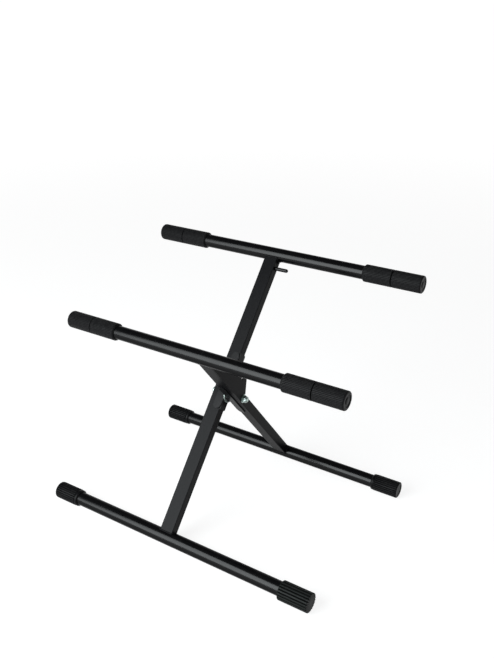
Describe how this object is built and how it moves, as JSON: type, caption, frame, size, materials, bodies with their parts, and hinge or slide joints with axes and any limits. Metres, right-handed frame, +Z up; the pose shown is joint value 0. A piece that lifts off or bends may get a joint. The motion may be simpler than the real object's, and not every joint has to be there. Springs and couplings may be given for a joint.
{
  "type": "folding amplifier stand",
  "caption": "Folding X-shaped steel stand that tilts an amplifier back on two rubber-gripped bars, with a levelling foot cap.",
  "frame": {"origin": "on the floor, under the middle of the open stand's box, which is within 0.2 mm of the pivot in Y", "axes": "+X along the bars, towards the levelling cap's end; -Y towards the front foot, where the amplifier faces; +Z up"},
  "size_m": [0.642, 0.4544, 0.5171],
  "materials": {
    "gloss_black": "gloss black powder coat on the round tubes",
    "satin_black": "satin black powder coat on the legs, plates and gusset",
    "rubber_black": "matt ribbed rubber",
    "rubber_grey": "matt, slightly greyer ribbed rubber of the levelling cap",
    "zinc": "bright zinc plate",
    "nylon_natural": "natural nylon",
    "nylon_black": "black nylon"
  },
  "bodies": {
    "front_frame": {"front_foot_tube": "gloss_black", "post": "satin_black", "backrest_tube": "gloss_black", "post_hinge_plate": "satin_black", "post_corner_web": "satin_black", "cable_peg": "gloss_black", "post_crush_sleeve": "zinc", "head_washer": "zinc", "centre_washer": "zinc", "front_left_foot_cap": "rubber_black", "backrest_left_sleeve": "rubber_black", "backrest_left_cap": "rubber_black", "backrest_right_sleeve": "rubber_black", "backrest_right_cap": "rubber_black"},
    "levelling_foot": {"levelling_cap": "rubber_grey"},
    "rear_frame": {"rear_foot_tube": "gloss_black", "brace": "satin_black", "support_bar_tube": "gloss_black", "brace_hinge_plate": "satin_black", "side_gusset": "satin_black", "brace_crush_sleeve": "zinc", "pivot_spacer": "nylon_black", "nut_washer": "zinc", "lock_nut": "zinc", "nut_insert": "nylon_natural", "pivot_bolt": "zinc", "rear_left_foot_cap": "rubber_black", "rear_right_foot_cap": "rubber_black", "support_left_sleeve": "rubber_black", "support_left_cap": "rubber_black", "support_right_sleeve": "rubber_black", "support_right_cap": "rubber_black"}
  },
  "joints": [
    {"name": "fold", "type": "hinge", "parent": "front_frame", "child": "rear_frame", "pos_m": [0, 0.00013, 0.25683], "axis": [1, 0, 0], "range_deg": [-71.5, 0]},
    {"name": "levelling_turn", "type": "hinge", "parent": "front_frame", "child": "levelling_foot", "pos_m": [0.2845, -0.20602, 0.018], "axis": [1, 0, 0], "continuous": true}
  ]
}
